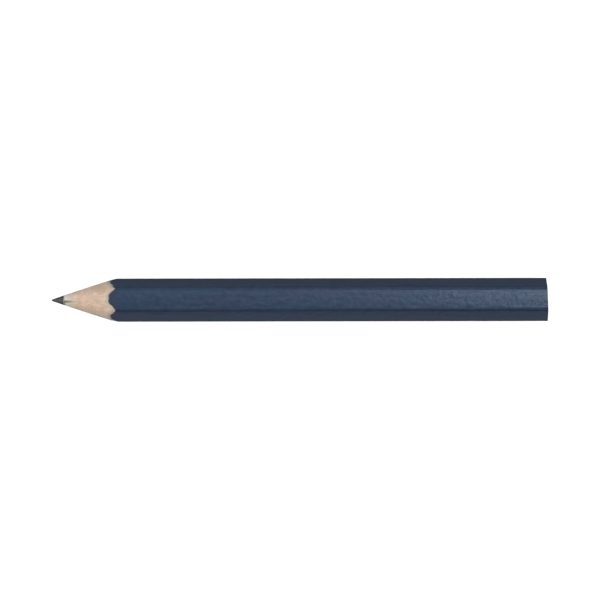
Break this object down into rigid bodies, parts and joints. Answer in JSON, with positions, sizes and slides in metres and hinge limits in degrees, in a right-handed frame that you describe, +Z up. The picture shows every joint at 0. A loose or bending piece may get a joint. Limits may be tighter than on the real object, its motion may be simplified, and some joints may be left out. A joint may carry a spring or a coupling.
{
  "type": "carpenter pencil",
  "caption": "Short hexagonal wood-cased graphite pencil, cone-sharpened at one end and sawn flat at the other, under dark blue lacquer.",
  "frame": {"origin": "on the surface the pencil lies on, under the middle of its length", "axes": "+X from the point to the sawn end, +Z up through the upper flat, +Y to the back; one flat rests on z = 0"},
  "size_m": [0.088, 0.0076, 0.0069],
  "materials": {
    "graphite": "satin",
    "glue": "satin",
    "wood": "matte",
    "primer": "matte",
    "blue_lacquer": "gloss",
    "clear_lacquer": "gloss"
  },
  "bodies": {
    "root": {"graphite_core": "graphite", "core_glue_sleeve": "glue", "upper_slat": "wood", "lower_slat": "wood", "glue_line_front": "glue", "glue_line_back": "glue", "primer_coat": "primer", "colour_coat": "blue_lacquer", "clear_coat": "clear_lacquer"}
  },
  "joints": []
}
